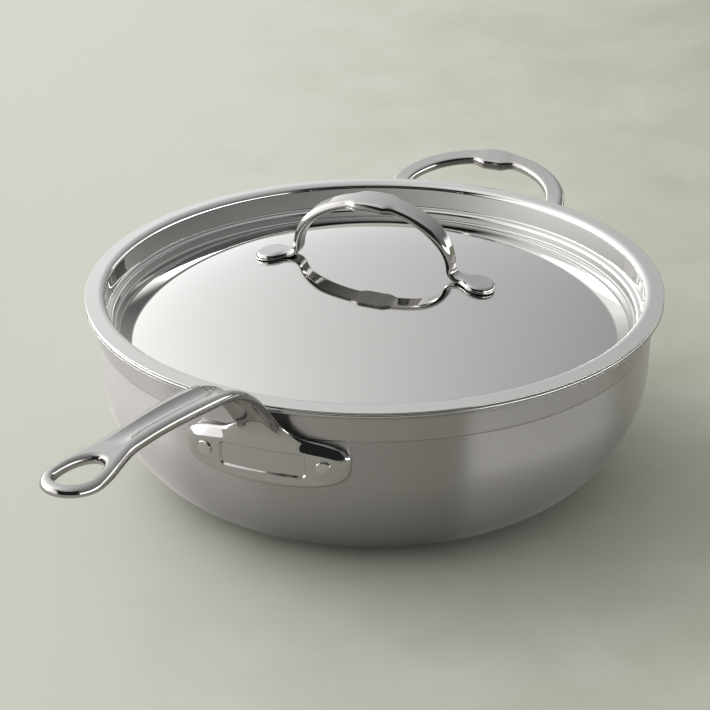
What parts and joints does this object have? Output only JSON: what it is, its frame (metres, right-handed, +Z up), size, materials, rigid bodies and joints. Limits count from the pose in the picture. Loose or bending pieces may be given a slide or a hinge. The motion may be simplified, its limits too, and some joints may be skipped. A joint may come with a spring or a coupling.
{
  "type": "saute pan with lid",
  "caption": "Deep clad stainless saute pan with a curved foot and flared lip, a riveted cast long handle with a hanging loop, a helper handle, and a domed inset lid with an arched handle.",
  "frame": {"origin": "middle of the base's flat, on the table", "axes": "+Z up, +X from the pan's axis along the long handle, +Y along the lid handle"},
  "size_m": [0.561, 0.3052, 0.1563],
  "materials": {
    "brushed_stainless": "brushed round the pan, with a polished band under the lip",
    "satin_stainless": "satin",
    "core_aluminium": "mill",
    "polished_casting": "mirror polished",
    "rivet_stainless": "satin",
    "polished_sheet": "mirror polished"
  },
  "bodies": {
    "pan": {"pan_outer_shell": "brushed_stainless", "pan_aluminium_core": "core_aluminium", "pan_inner_liner": "satin_stainless", "long_handle": "polished_casting", "long_handle_rivet_left": "rivet_stainless", "long_handle_rivet_right": "rivet_stainless", "helper_handle": "polished_casting", "helper_handle_rivet_left": "rivet_stainless", "helper_handle_rivet_right": "rivet_stainless"},
    "lid": {"lid_shell": "polished_sheet", "lid_handle": "polished_casting"}
  },
  "joints": [
    {"name": "lid_lift", "type": "slide", "parent": "pan", "child": "lid", "axis": [0, 0, 1], "range_m": [0, 0.14]}
  ]
}
